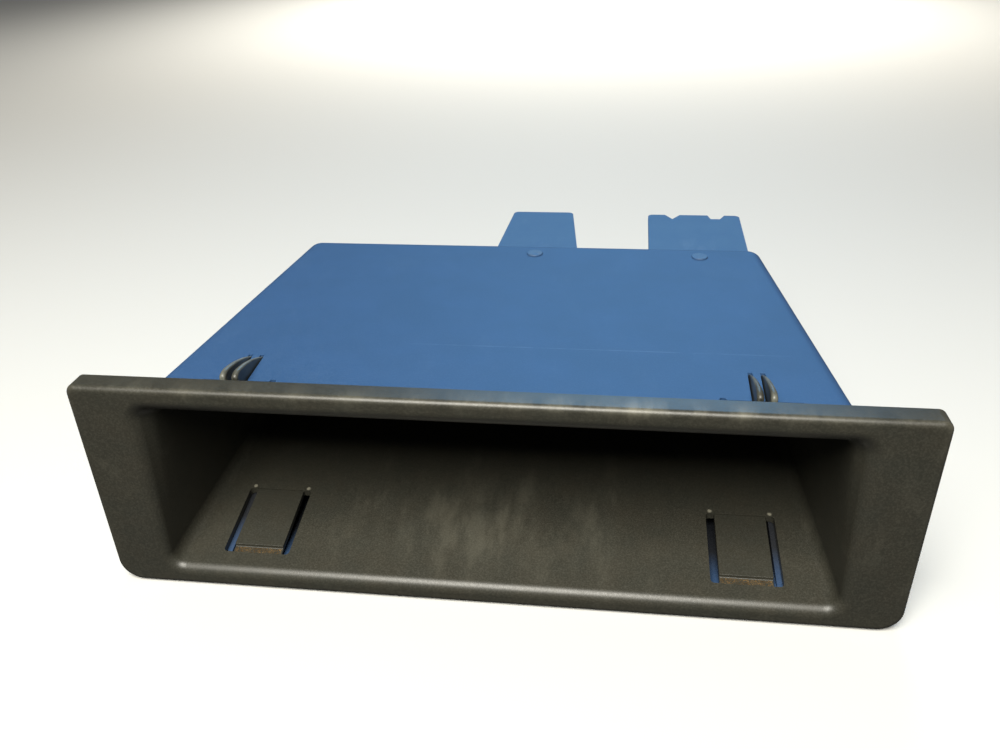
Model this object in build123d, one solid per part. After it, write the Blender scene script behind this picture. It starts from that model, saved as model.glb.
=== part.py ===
"""Panel-mounted storage pocket: a flanged moulded pocket that slides in a tapered housing.

Frame: the origin is the centre of the panel aperture, on the plane where the bezel bears on the panel.
+X is to the right as the user faces the bezel, +Y goes into the panel and +Z is up. Sizes are in mm.
"""
from build123d import *
import os

os.makedirs("parts", exist_ok=True)

# Bezel: a hollow-backed flange whose rear rim bears on the panel at Y = 0
BEZEL_WIDTH = 211.2
BEZEL_TOP = 31.2
BEZEL_BOTTOM = -32.2
BEZEL_DEPTH = 6.5
BEZEL_FRONT_WALL = 2.5
BEZEL_RIM_WALL = 2.0
BEZEL_TOP_CORNER = 2.4
BEZEL_BOTTOM_CORNER = 6.2
BEZEL_EDGE_ROUND = 1.5

# Mouth of the pocket, before its front edge is rolled
MOUTH_HALF_WIDTH = 89.6
MOUTH_TOP = 25.4
MOUTH_BOTTOM = -26.6
MOUTH_CORNER = 4.0
MOUTH_ROLL = 2.5

# Nested walls: both boxes share one tapered side plane, moved out by each wall and gap
SIDE_AT_ORIGIN = 87.7
SIDE_TAPER = 0.104
SIDE_DRAFT = 0.08
CEILING = 22.6
FLOOR_AT_ORIGIN = -25.3
FLOOR_RISE = 0.197
POCKET_WALL = 1.8
NEST_GAP = 0.5
HOUSING_WALL = 1.5
POCKET_REAR = 91.0
POCKET_CORNER = 3.0

HOUSING_FRONT = 0.0
HOUSING_REAR = 109.0
HOUSING_HEIGHT = 55.65
UNDERSIDE_SKIM = 0.05
HOUSING_EDGE_ROUND = 4.0
HOUSING_REAR_CORNER = 5.0
RUNNER_INNER_X = 75.6
RUNNER_WIDTH = 2.0
RUNNER_GAP = 0.4
RUNNER_FRONT = 1.0

# Spring latches: tongues cut by U-shaped slots in the pocket's floor and ceiling
CEILING_LATCH_X = 66.5
FLOOR_LATCH_X = 67.5
LATCH_HALF_WIDTH = 7.1
SLOT_WIDTH = 2.4
FLOOR_SLOT_FRONT = 0.1
FLOOR_LATCH_TIP = 2.9
FLOOR_LATCH_ROOT = 23.25
FLOOR_LEDGE_TIP = 0.6
FLOOR_LEDGE_DROP = 0.9
CEILING_SLOT_FRONT = -0.5
CEILING_LATCH_TIP = 2.0
CEILING_LATCH_ROOT = 24.0
HINGE_CLEARANCE = 0.05
ROOT_GAP = 0.25

# Twin barbs on each tongue, which snap behind a panel up to 3 mm thick
BARB_HALF_PITCH = 1.6
BARB_WIDTH = 1.8
BARB_TIP_WIDTH = 0.5
BARB_FRONT = 3.0
BARB_REAR = 21.5
BARB_REACH = 4.6
FLOOR_BARB_REAR = 17.0
FLOOR_BARB_REACH = 2.4
BARB_NOSE_DROP = 1.4
BARB_NOSE_LENGTH = 2.6
BARB_NOSE_BULGE = (0.8, 0.3)
BARB_BACK_BULGE = 1.0
CEILING_BARB_TIP_SINK = 0.3
FLOOR_BARB_TIP_DROP = 1.0
BARB_SLIT_CLEARANCE = 0.35
NOTCH_REAR = 8.0
NOTCH_RELIEF_RADIUS = 0.9

# Rear straps, each riveted under the top panel and passed through the rear wall
STRAP_THICKNESS = 1.5
STRAP_ROOT = 93.0
STRAP_CORNER = 2.0
STRAP_SLOT_CLEARANCE = 0.3
RIVET_Y = 99.5
LEFT_RIVET_X = 2.8
RIGHT_RIVET_X = 57.8
RIVET_RADIUS = 1.6
RIVET_HOLE_RADIUS = 1.65
RIVET_HEAD_RADIUS = 2.7
RIVET_HEAD_HEIGHT = 0.5
RIVET_TAIL_RADIUS = 2.3
RIVET_TAIL_HEIGHT = 1.2

# Worked-out sizes
POCKET_OUTSET = POCKET_WALL
HOUSING_INNER_OUTSET = POCKET_WALL + NEST_GAP
HOUSING_OUTER_OUTSET = HOUSING_INNER_OUTSET + HOUSING_WALL
HOUSING_TOP = CEILING + HOUSING_OUTER_OUTSET
HOUSING_BOTTOM = HOUSING_TOP - HOUSING_HEIGHT
FLOOR_NORMAL_FACTOR = (1 + FLOOR_RISE**2) ** 0.5
STRAP_TOP = HOUSING_TOP - HOUSING_WALL
STRAP_BOTTOM = STRAP_TOP - STRAP_THICKNESS
FAR = 200.0
LONG_EDGE = 30.0
NUDGE = 0.1


def upright_plane(y):
    """Plane across the object at depth y, drawn in X and Z."""
    return Plane(origin=(0, y, 0), x_dir=(1, 0, 0), z_dir=(0, -1, 0))


def side_plane(x):
    """Plane along the object at width x, drawn in Y and Z."""
    return Plane(origin=(x, 0, 0), x_dir=(0, 1, 0), z_dir=(1, 0, 0))


def half_width(y, z, outset):
    """Half width of the nested boxes at depth y and height z."""
    return SIDE_AT_ORIGIN - SIDE_TAPER * y - SIDE_DRAFT * z + outset


def floor_height(y, outset):
    """Height of the pocket's sloping floor at depth y, moved down by outset along its normal."""
    return FLOOR_AT_ORIGIN + FLOOR_RISE * y - outset * FLOOR_NORMAL_FACTOR


def quad_section(y, low_half, high_half, z_low, z_high, radius):
    """Four-sided section across the object with rounded corners."""
    corners = [(-low_half, z_low), (low_half, z_low), (high_half, z_high), (-high_half, z_high)]
    outline = make_face(Polyline(*corners, close=True))
    return upright_plane(y) * fillet(outline.vertices(), radius)


def box_section(y, z_low, z_high, outset, radius):
    """Section of one of the nested boxes."""
    return quad_section(y, half_width(y, z_low, outset), half_width(y, z_high, outset), z_low, z_high, radius)


def pocket_box(y_front, y_rear, outset, radius):
    """Sloping-floored box between two depths."""
    sections = [
        box_section(y, floor_height(y, outset), CEILING + outset, outset, radius) for y in (y_front, y_rear)
    ]
    return loft(sections, ruled=True)


def housing_box(y_front, y_rear, outset, inset, edge_radius, rear_radius):
    """Level-floored box between two depths, with rounded long edges and rear corners."""
    z_low = HOUSING_BOTTOM + inset
    z_high = HOUSING_TOP - inset
    sections = []
    for y in (y_front, y_rear):
        low_half = half_width(y, z_low, outset)
        high_half = half_width(y, z_high, outset)
        corners = [(-low_half, z_low), (low_half, z_low), (high_half, z_high), (-high_half, z_high)]
        sections.append(upright_plane(y) * make_face(Polyline(*corners, close=True)))
    box = round_rear_corners(loft(sections, ruled=True), rear_radius)
    long_edges = [e for e in box.edges() if e.bounding_box().size.Y > LONG_EDGE]
    return fillet(long_edges, edge_radius)


def mouth_loft(outset):
    """Flare from the rectangular mouth at the bezel's face to the pocket's section at the panel plane."""
    front = quad_section(
        -BEZEL_DEPTH,
        MOUTH_HALF_WIDTH + outset,
        MOUTH_HALF_WIDTH + outset,
        MOUTH_BOTTOM - outset,
        MOUTH_TOP + outset,
        MOUTH_CORNER + outset,
    )
    rear = box_section(0, floor_height(0, outset), CEILING + outset, outset, POCKET_CORNER + outset)
    return loft([front, rear], ruled=True)


def span_box(x_range, y_range, z_range):
    """Box between two corners."""
    sizes = [high - low for low, high in (x_range, y_range, z_range)]
    return Pos(x_range[0], y_range[0], z_range[0]) * Box(*sizes, align=(Align.MIN, Align.MIN, Align.MIN))


def bezel_outline(inset):
    """Rectangle of the bezel with its own corner radii, moved in by inset."""
    height = BEZEL_TOP - BEZEL_BOTTOM
    outline = Rectangle(BEZEL_WIDTH - 2 * inset, height - 2 * inset)
    upper = outline.vertices().filter_by(lambda v: v.Y > 0)
    outline = fillet(upper, BEZEL_TOP_CORNER - inset / 2)
    lower = outline.vertices().group_by(Axis.Y)[0]
    outline = fillet(lower, BEZEL_BOTTOM_CORNER - inset / 2)
    return Pos(0, (BEZEL_TOP + BEZEL_BOTTOM) / 2) * outline


def make_bezel():
    """Flange with a rounded front edge and a hollow back."""
    plate = extrude(upright_plane(0) * bezel_outline(0), BEZEL_DEPTH)
    front_edges = plate.faces().sort_by(Axis.Y)[0].edges()
    plate = fillet(front_edges, BEZEL_EDGE_ROUND)
    hollow = extrude(upright_plane(0) * bezel_outline(BEZEL_RIM_WALL), BEZEL_DEPTH - BEZEL_FRONT_WALL)
    return plate - hollow


def round_rear_corners(box, radius):
    """Round the two upright edges at the rear of a box."""
    rear_face = box.faces().sort_by(Axis.Y)[-1]
    upright = [e for e in rear_face.edges() if e.bounding_box().size.Z > LONG_EDGE / 2]
    return fillet(upright, radius)


def latch_window(x, y_front, y_root, z_range, pivot_z):
    """Space that a tongue and its slots take out of the pocket's wall, with the seat of its rounded root."""
    reach = LATCH_HALF_WIDTH + SLOT_WIDTH
    x_range = (x - reach, x + reach)
    window = span_box(x_range, (y_front, y_root + ROOT_GAP), z_range)
    seat = Cylinder(POCKET_WALL / 2 + HINGE_CLEARANCE / 2, 2 * LATCH_HALF_WIDTH + 2 * ROOT_GAP)
    return window + Pos(x, y_root, pivot_z) * Rot(0, 90, 0) * seat


def floor_pivot_height():
    """Height of the floor tongues' hinge line, half way through the floor."""
    return floor_height(FLOOR_LATCH_ROOT, POCKET_WALL / 2)


def ceiling_pivot_height():
    """Height of the ceiling tongues' hinge line, half way through the ceiling."""
    return CEILING + POCKET_WALL / 2


def make_pocket():
    """Bezel, mouth and sloping-floored box as one moulding, with windows for the four tongues."""
    body = pocket_box(0, POCKET_REAR, POCKET_OUTSET, POCKET_CORNER + POCKET_OUTSET)
    body = round_rear_corners(body, POCKET_CORNER + POCKET_OUTSET)
    shell = make_bezel() + mouth_loft(POCKET_OUTSET) + body
    cavity = round_rear_corners(pocket_box(0, POCKET_REAR - POCKET_WALL, 0, POCKET_CORNER), POCKET_CORNER)
    shell = shell - mouth_loft(0) - cavity
    face_edges = shell.edges().filter_by(Plane.XZ).group_by(Axis.Y)[0]
    mouth_edges = face_edges.filter_by(
        lambda e: abs(e.center().X) < MOUTH_HALF_WIDTH + NUDGE and abs(e.center().Z) < MOUTH_TOP + NUDGE
    )
    shell = fillet(mouth_edges, MOUTH_ROLL)
    for side in (-1, 1):
        floor_cut = (MOUTH_BOTTOM - 2 * POCKET_WALL, floor_height(FLOOR_LATCH_ROOT, -2 * POCKET_WALL))
        floor_x, ceiling_x = side * FLOOR_LATCH_X, side * CEILING_LATCH_X
        shell -= latch_window(floor_x, FLOOR_SLOT_FRONT, FLOOR_LATCH_ROOT, floor_cut, floor_pivot_height())
        ceiling_cut = (CEILING - POCKET_WALL / 2, CEILING + 2 * POCKET_WALL)
        shell -= latch_window(
            ceiling_x, CEILING_SLOT_FRONT, CEILING_LATCH_ROOT, ceiling_cut, ceiling_pivot_height()
        )
    return shell


def tapered_barb(x, profile, y_front, y_rear, half_front, half_rear):
    """Barb with a given side profile, thinned from front to rear."""
    plan = Polyline(
        (x - half_front, y_front),
        (x + half_front, y_front),
        (x + half_rear, y_rear),
        (x - half_rear, y_rear),
        close=True,
    )
    column = extrude(Pos(0, 0, -FAR / 2) * make_face(plan), FAR)
    slab = extrude(side_plane(x - BARB_WIDTH) * profile, 2 * BARB_WIDTH)
    return slab & column


def barb_edge(crest, up, tip):
    """Working edge of a barb: a short rounded nose and a long back that falls to its rear tip.

    crest is the height it reaches, up is 1 for a barb that stands and -1 for one that hangs.
    """
    nose = (BARB_FRONT, crest - up * BARB_NOSE_DROP)
    shoulder = (BARB_FRONT + BARB_NOSE_LENGTH, crest)
    nose_middle = (BARB_FRONT + BARB_NOSE_BULGE[0], crest - up * BARB_NOSE_BULGE[1])
    back_middle = ((shoulder[0] + tip[0]) / 2, (shoulder[1] + tip[1]) / 2 + up * BARB_BACK_BULGE)
    return [ThreePointArc(nose, nose_middle, shoulder), ThreePointArc(shoulder, back_middle, tip)]


def tongue_root(x, y, z):
    """Rounded end that turns in the pocket's seat."""
    radius = POCKET_WALL / 2 - HINGE_CLEARANCE / 2
    return Pos(x, y, z) * Rot(0, 90, 0) * Cylinder(radius, 2 * LATCH_HALF_WIDTH)


def across(x, profile):
    """Extrude a side profile over the width of a tongue."""
    return extrude(side_plane(x - LATCH_HALF_WIDTH) * profile, 2 * LATCH_HALF_WIDTH)


def make_ceiling_latch(side):
    """Ceiling tongue with twin shark-fin barbs that stand up through the housing's top panel."""
    x = side * CEILING_LATCH_X
    z_low = CEILING + HINGE_CLEARANCE / 2
    z_high = CEILING + POCKET_WALL - HINGE_CLEARANCE / 2
    strip = Polyline(
        (CEILING_LATCH_TIP, z_low),
        (CEILING_LATCH_ROOT, z_low),
        (CEILING_LATCH_ROOT, z_high),
        (CEILING_LATCH_TIP, z_high),
        close=True,
    )
    latch = across(x, make_face(strip)) + tongue_root(x, CEILING_LATCH_ROOT, ceiling_pivot_height())
    crest = HOUSING_TOP + BARB_REACH
    tip = (BARB_REAR, HOUSING_TOP - CEILING_BARB_TIP_SINK)
    foot = ceiling_pivot_height()
    outline = barb_edge(crest, 1, tip) + [
        Line((BARB_FRONT, foot), (BARB_FRONT, crest - BARB_NOSE_DROP)),
        Line(tip, (BARB_REAR, foot)),
        Line((BARB_REAR, foot), (BARB_FRONT, foot)),
    ]
    profile = make_face(outline)
    for offset in (-BARB_HALF_PITCH, BARB_HALF_PITCH):
        latch += tapered_barb(
            x + offset, profile, BARB_FRONT - 1, BARB_REAR + 1, BARB_WIDTH / 2, BARB_TIP_WIDTH / 2
        )
    return latch


def make_floor_latch(side):
    """Floor tongue with a dropped front ledge and twin barbs that reach down through the housing's floor."""
    x = side * FLOOR_LATCH_X
    skin = HINGE_CLEARANCE / 2
    strip = Polyline(
        (FLOOR_LEDGE_TIP, floor_height(FLOOR_LEDGE_TIP, POCKET_WALL - skin)),
        (FLOOR_LATCH_ROOT, floor_height(FLOOR_LATCH_ROOT, POCKET_WALL - skin)),
        (FLOOR_LATCH_ROOT, floor_height(FLOOR_LATCH_ROOT, skin)),
        (FLOOR_LATCH_TIP, floor_height(FLOOR_LATCH_TIP, skin)),
        (FLOOR_LATCH_TIP, floor_height(FLOOR_LATCH_TIP, FLOOR_LEDGE_DROP)),
        (FLOOR_LEDGE_TIP, floor_height(FLOOR_LEDGE_TIP, FLOOR_LEDGE_DROP)),
        close=True,
    )
    latch = across(x, make_face(strip)) + tongue_root(x, FLOOR_LATCH_ROOT, floor_pivot_height())
    keel = HOUSING_BOTTOM - FLOOR_BARB_REACH
    front_foot = floor_height(BARB_FRONT, POCKET_WALL / 2)
    rear_foot = floor_height(FLOOR_BARB_REAR, POCKET_WALL / 2)
    tip = (FLOOR_BARB_REAR, floor_height(FLOOR_BARB_REAR, POCKET_WALL) - FLOOR_BARB_TIP_DROP)
    outline = barb_edge(keel, -1, tip) + [
        Line((BARB_FRONT, front_foot), (BARB_FRONT, keel + BARB_NOSE_DROP)),
        Line(tip, (FLOOR_BARB_REAR, rear_foot)),
        Line((FLOOR_BARB_REAR, rear_foot), (BARB_FRONT, front_foot)),
    ]
    profile = make_face(outline)
    for offset in (-BARB_HALF_PITCH, BARB_HALF_PITCH):
        latch += tapered_barb(
            x + offset, profile, BARB_FRONT - 1, FLOOR_BARB_REAR + 1, BARB_WIDTH / 2, BARB_TIP_WIDTH / 2
        )
    return latch


def barb_slit(centre, y_rear, z_range):
    """Tapered slit, open at the front, that lets one barb through a housing panel."""
    front = BARB_WIDTH / 2 + BARB_SLIT_CLEARANCE
    rear = BARB_TIP_WIDTH / 2 + BARB_SLIT_CLEARANCE
    y_front = HOUSING_FRONT - 1
    plan = Polyline(
        (centre - front, y_front),
        (centre + front, y_front),
        (centre + front, BARB_FRONT),
        (centre + rear, y_rear + BARB_SLIT_CLEARANCE),
        (centre - rear, y_rear + BARB_SLIT_CLEARANCE),
        (centre - front, BARB_FRONT),
        close=True,
    )
    return extrude(Pos(0, 0, z_range[0]) * make_face(plan), z_range[1] - z_range[0])


def top_notch(side, z_range):
    """Notch in the front of the top panel over a ceiling tongue, with a relief hole in its inner corner."""
    x = side * CEILING_LATCH_X
    reach = LATCH_HALF_WIDTH + SLOT_WIDTH
    notch = span_box((x - reach, x + reach), (HOUSING_FRONT - 1, NOTCH_REAR), z_range)
    relief = Cylinder(NOTCH_RELIEF_RADIUS, z_range[1] - z_range[0])
    return notch + Pos(x - side * reach, NOTCH_REAR, sum(z_range) / 2) * relief


def runner(side):
    """Wedge-shaped rib on the housing's floor that carries the sloping pocket."""
    low = HOUSING_BOTTOM + HOUSING_WALL / 2
    drop = POCKET_WALL + RUNNER_GAP
    profile = Polyline(
        (RUNNER_FRONT, low),
        (POCKET_REAR, low),
        (POCKET_REAR, floor_height(POCKET_REAR, drop)),
        (RUNNER_FRONT, floor_height(RUNNER_FRONT, drop)),
        close=True,
    )
    start = RUNNER_INNER_X if side > 0 else -RUNNER_INNER_X - RUNNER_WIDTH
    return extrude(side_plane(start) * make_face(profile), RUNNER_WIDTH)


def left_strap_plan():
    """Plan of the left strap: a tongue that narrows evenly to the rear."""
    return [
        (-11.4, STRAP_ROOT),
        (16.9, STRAP_ROOT),
        (16.9, 107.0),
        (13.3, 146.3),
        (-9.2, 146.3),
        (-11.4, 107.0),
    ]


def right_strap_plan():
    """Plan of the right strap: a tongue with a pointed and a flat notch in its rear edge."""
    return [
        (41.1, STRAP_ROOT),
        (74.5, STRAP_ROOT),
        (75.6, 145.3),
        (70.2, 145.3),
        (68.3, 141.3),
        (64.9, 141.3),
        (64.0, 145.3),
        (53.7, 145.3),
        (50.8, 140.7),
        (48.2, 145.3),
        (41.9, 145.3),
    ]


def make_strap(plan, rivet_x):
    """Flat strap with rounded corners and one rivet hole."""
    outline = make_face(Polyline(*plan, close=True))
    rear = max(y for x, y in plan)
    left = min(x for x, y in plan)
    right = max(x for x, y in plan)
    at_end = [v for v in outline.vertices() if v.Y > rear - 0.1 or v.Y < STRAP_ROOT + 0.1]
    outer = [v for v in at_end if v.X < left + 3 or v.X > right - 4]
    outline = fillet(outer, STRAP_CORNER)
    strap = extrude(Pos(0, 0, STRAP_BOTTOM) * outline, STRAP_THICKNESS)
    return strap - Pos(rivet_x, RIVET_Y, STRAP_BOTTOM) * Cylinder(RIVET_HOLE_RADIUS, 4 * STRAP_THICKNESS)


def strap_slot(plan):
    """Slot in the housing's rear wall for a strap to leave through."""
    left = min(x for x, y in plan if y < HOUSING_REAR + 2) - STRAP_SLOT_CLEARANCE
    right = max(x for x, y in plan if y < HOUSING_REAR + 2) + STRAP_SLOT_CLEARANCE
    y_range = (HOUSING_REAR - 3 * HOUSING_WALL, HOUSING_REAR + 2)
    return span_box((left, right), y_range, (STRAP_BOTTOM - STRAP_SLOT_CLEARANCE, STRAP_TOP))


def make_housing():
    """Tapered box open at the front, with runners, barb slits, strap slots and rivet holes."""
    outer = housing_box(
        HOUSING_FRONT, HOUSING_REAR, HOUSING_OUTER_OUTSET, 0, HOUSING_EDGE_ROUND, HOUSING_REAR_CORNER
    )
    inner = housing_box(
        HOUSING_FRONT - 1,
        HOUSING_REAR - HOUSING_WALL,
        HOUSING_INNER_OUTSET,
        HOUSING_WALL,
        HOUSING_EDGE_ROUND - HOUSING_WALL,
        HOUSING_REAR_CORNER - HOUSING_WALL,
    )
    shell = outer - inner
    shell -= span_box(
        (-BEZEL_WIDTH / 2, BEZEL_WIDTH / 2),
        (HOUSING_FRONT - 1, HOUSING_REAR + 1),
        (HOUSING_BOTTOM - 1, HOUSING_BOTTOM + UNDERSIDE_SKIM),
    )
    top_range = (HOUSING_TOP - 2 * HOUSING_WALL, HOUSING_TOP + 1)
    bottom_range = (HOUSING_BOTTOM - 1, HOUSING_BOTTOM + 1.2 * HOUSING_WALL)
    for side in (-1, 1):
        shell += runner(side)
        shell -= top_notch(side, top_range)
        for offset in (-BARB_HALF_PITCH, BARB_HALF_PITCH):
            shell -= barb_slit(side * CEILING_LATCH_X + offset, BARB_REAR, top_range)
            shell -= barb_slit(side * FLOOR_LATCH_X + offset, FLOOR_BARB_REAR, bottom_range)
    for plan, rivet_x in ((left_strap_plan(), LEFT_RIVET_X), (right_strap_plan(), RIGHT_RIVET_X)):
        shell -= strap_slot(plan)
        shell -= Pos(rivet_x, RIVET_Y, HOUSING_TOP) * Cylinder(RIVET_HOLE_RADIUS, 4 * HOUSING_WALL)
    return shell


def make_rivet(x):
    """Rivet through the top panel and a strap, with a low rounded head above."""
    head = Cylinder(RIVET_HEAD_RADIUS, RIVET_HEAD_HEIGHT, align=(Align.CENTER, Align.CENTER, Align.MIN))
    head = fillet(head.edges().sort_by(Axis.Z)[-1], RIVET_HEAD_HEIGHT * 0.7)
    shank_length = HOUSING_TOP - STRAP_BOTTOM
    shank = Cylinder(RIVET_RADIUS, shank_length, align=(Align.CENTER, Align.CENTER, Align.MAX))
    tail = Cylinder(RIVET_TAIL_RADIUS, RIVET_TAIL_HEIGHT, align=(Align.CENTER, Align.CENTER, Align.MAX))
    return Pos(x, RIVET_Y, HOUSING_TOP) * (head + shank + Pos(0, 0, -shank_length) * tail)


def main():
    """Build every piece and write one STEP file for each."""
    pieces = {
        "pocket_moulding": make_pocket(),
        "housing_shell": make_housing(),
        "rear_strap_left": make_strap(left_strap_plan(), LEFT_RIVET_X),
        "rear_strap_right": make_strap(right_strap_plan(), RIGHT_RIVET_X),
        "strap_rivet_left": make_rivet(LEFT_RIVET_X),
        "strap_rivet_right": make_rivet(RIGHT_RIVET_X),
    }
    for side, name in ((-1, "left"), (1, "right")):
        pieces[f"ceiling_latch_{name}"] = make_ceiling_latch(side)
        pieces[f"floor_latch_{name}"] = make_floor_latch(side)
    for name, shape in pieces.items():
        export_step(shape, f"parts/{name}.step")
    print("ceiling latch pivot", CEILING_LATCH_ROOT, ceiling_pivot_height())
    print("floor latch pivot", FLOOR_LATCH_ROOT, floor_pivot_height())


main()
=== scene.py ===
import logging
import math
from dataclasses import dataclass
from enum import Enum

import bmesh
import bpy
from mathutils import Matrix, Vector


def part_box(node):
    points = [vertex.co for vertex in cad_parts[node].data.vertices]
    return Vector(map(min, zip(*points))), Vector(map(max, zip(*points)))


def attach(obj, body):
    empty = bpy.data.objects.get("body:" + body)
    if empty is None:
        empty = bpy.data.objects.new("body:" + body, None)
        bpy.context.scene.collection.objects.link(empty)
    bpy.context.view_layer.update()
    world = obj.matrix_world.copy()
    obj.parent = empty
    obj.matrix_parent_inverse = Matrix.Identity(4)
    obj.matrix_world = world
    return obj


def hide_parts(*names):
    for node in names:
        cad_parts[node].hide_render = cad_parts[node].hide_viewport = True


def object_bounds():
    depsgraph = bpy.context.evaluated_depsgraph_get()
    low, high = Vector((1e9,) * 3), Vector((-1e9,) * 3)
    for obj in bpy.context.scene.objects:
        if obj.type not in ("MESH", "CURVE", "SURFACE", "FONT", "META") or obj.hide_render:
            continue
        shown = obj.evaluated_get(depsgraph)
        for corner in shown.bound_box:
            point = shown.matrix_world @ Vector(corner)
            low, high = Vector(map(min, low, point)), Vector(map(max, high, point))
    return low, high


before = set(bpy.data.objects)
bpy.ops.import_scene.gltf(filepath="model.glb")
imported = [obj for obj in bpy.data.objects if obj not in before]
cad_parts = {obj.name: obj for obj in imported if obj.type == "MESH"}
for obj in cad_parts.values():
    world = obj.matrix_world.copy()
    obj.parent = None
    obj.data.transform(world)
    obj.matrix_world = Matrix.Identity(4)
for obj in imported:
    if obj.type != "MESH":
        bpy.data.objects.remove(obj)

LOG = logging.getLogger("storage_pocket")
MM = 0.001
CAD_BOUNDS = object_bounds()
Point = tuple[float, float, float]
Tree = bpy.types.NodeTree
Socket = bpy.types.NodeSocket
Finish = bpy.types.Material
Piece = bpy.types.Object


class Side(Enum):
    """The two ends of the pocket, as the user faces it."""

    LEFT = -1
    RIGHT = 1

    @property
    def word(self) -> str:
        """The side's name as the nodes spell it."""
        return self.name.lower()


class Wall(Enum):
    """The pocket's wall that a spring tongue is cut from, with the way its barbs point."""

    FLOOR = -1
    CEILING = 1

    @property
    def word(self) -> str:
        """The wall's name as the nodes spell it."""
        return self.name.lower()


# ---------------------------------------------------------------- small helpers


def linear(hex_colour: str, alpha: float = 1.0) -> tuple[float, float, float, float]:
    """Turn an sRGB hex colour into linear light.

    Args:
        hex_colour: six hex digits, with or without a leading hash.
        alpha: opacity, kept as it is.

    Returns:
        Red, green, blue and alpha for a shader socket.
    """
    digits = hex_colour.lstrip("#")
    channels = [int(digits[i : i + 2], 16) / 255 for i in (0, 2, 4)]
    light = [c / 12.92 if c <= 0.04045 else ((c + 0.055) / 1.055) ** 2.4 for c in channels]
    return (*light, alpha)


def add_node(tree: Tree, kind: str, values: dict, links: dict, **settings: object) -> bpy.types.Node:
    """Add one node with its settings, its fixed inputs and its incoming links.

    Args:
        tree: the shader or geometry tree.
        kind: the node's class name.
        values: input name or index to a fixed value.
        links: input name or index to the output socket that feeds it.
        settings: the node's own properties.

    Returns:
        The new node.
    """
    node = tree.nodes.new(kind)
    for key, value in settings.items():
        setattr(node, key, value)
    for key, value in values.items():
        node.inputs[key].default_value = value
    for key, socket in links.items():
        tree.links.new(socket, node.inputs[key])
    return node


def mesh_object(name: str, shape: bmesh.types.BMesh) -> Piece:
    """Turn a bmesh drawn in millimetres into an object in metres at the origin.

    Args:
        name: the piece's name.
        shape: the mesh, which is freed.

    Returns:
        The new object, linked to the scene.
    """
    bmesh.ops.remove_doubles(shape, verts=shape.verts, dist=1e-5)
    bmesh.ops.recalc_face_normals(shape, faces=shape.faces)
    mesh = bpy.data.meshes.new(name)
    shape.to_mesh(mesh)
    shape.free()
    mesh.transform(Matrix.Scale(MM, 4))
    piece = bpy.data.objects.new(name, mesh)
    bpy.context.scene.collection.objects.link(piece)
    return piece


def bake_modifiers(piece: Piece) -> None:
    """Replace the piece's mesh by its evaluated mesh and drop its modifiers."""
    graph = bpy.context.evaluated_depsgraph_get()
    mesh = bpy.data.meshes.new_from_object(piece.evaluated_get(graph))
    piece.modifiers.clear()
    piece.data = mesh


def combine(piece: Piece, tool: Piece, operation: str) -> None:
    """Apply an exact boolean to the piece and delete the tool.

    Args:
        piece: the object that is changed.
        tool: the closed solid that cuts it or joins it.
        operation: DIFFERENCE or UNION.
    """
    step = piece.modifiers.new("combine", "BOOLEAN")
    step.operation = operation
    step.solver = "EXACT"
    step.object = tool
    bake_modifiers(piece)
    bpy.data.objects.remove(tool)


def round_edges(piece: Piece, width: float, segments: int = 2, angle: float = 40.0) -> None:
    """Bevel the sharp edges of a piece by a width in millimetres, and bake it."""
    step = piece.modifiers.new("edges", "BEVEL")
    step.width = width * MM
    step.segments = segments
    step.limit_method = "ANGLE"
    step.angle_limit = math.radians(angle)
    step.use_clamp_overlap = True
    bake_modifiers(piece)


def smooth(piece: Piece, angle: float = 32.0) -> None:
    """Shade the piece smooth, with creases past the angle and flat shading on its large flat faces."""
    piece.data.shade_smooth()
    piece.data.set_sharp_from_angle(angle=math.radians(angle))
    step = piece.modifiers.new("even_shading", "WEIGHTED_NORMAL")
    step.keep_sharp = True
    bake_modifiers(piece)


def prism(shape: bmesh.types.BMesh, outline: list[Point], lift: Vector) -> None:
    """Add a closed prism to a bmesh.

    Args:
        shape: the bmesh that receives it.
        outline: the corners of one end, in order.
        lift: the vector from that end to the other.
    """
    low = [shape.verts.new(p) for p in outline]
    high = [shape.verts.new(Vector(p) + lift) for p in outline]
    shape.faces.new(low)
    shape.faces.new(list(reversed(high)))
    for i, vert in enumerate(low):
        j = (i + 1) % len(low)
        shape.faces.new((low[j], vert, high[i], high[j]))


def rounded_outline(corners: list[tuple[float, float]], radii: list[float], steps: int) -> list[Vector]:
    """Round the corners of a polygon with arcs.

    Args:
        corners: the polygon's corners, in order.
        radii: one radius for each corner.
        steps: spans along each arc.

    Returns:
        The rounded outline as flat vectors.
    """
    points = []
    for i, corner in enumerate(corners):
        here = Vector(corner)
        back = (Vector(corners[i - 1]) - here).normalized()
        ahead = (Vector(corners[(i + 1) % len(corners)]) - here).normalized()
        if radii[i] <= 0:
            points.append(here)
            continue
        half = back.angle(ahead) / 2
        bisector = (back + ahead).normalized()
        centre = here + bisector * radii[i] / math.sin(half)
        start = here + back * radii[i] / math.tan(half) - centre
        end = here + ahead * radii[i] / math.tan(half) - centre
        sweep = start.angle_signed(end)
        for k in range(steps + 1):
            angle = -sweep * k / steps
            turned = Vector(
                (
                    start.x * math.cos(angle) - start.y * math.sin(angle),
                    start.x * math.sin(angle) + start.y * math.cos(angle),
                )
            )
            points.append(centre + turned)
    return points


# ---------------------------------------------------------------- shared shape of the nested boxes


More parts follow.
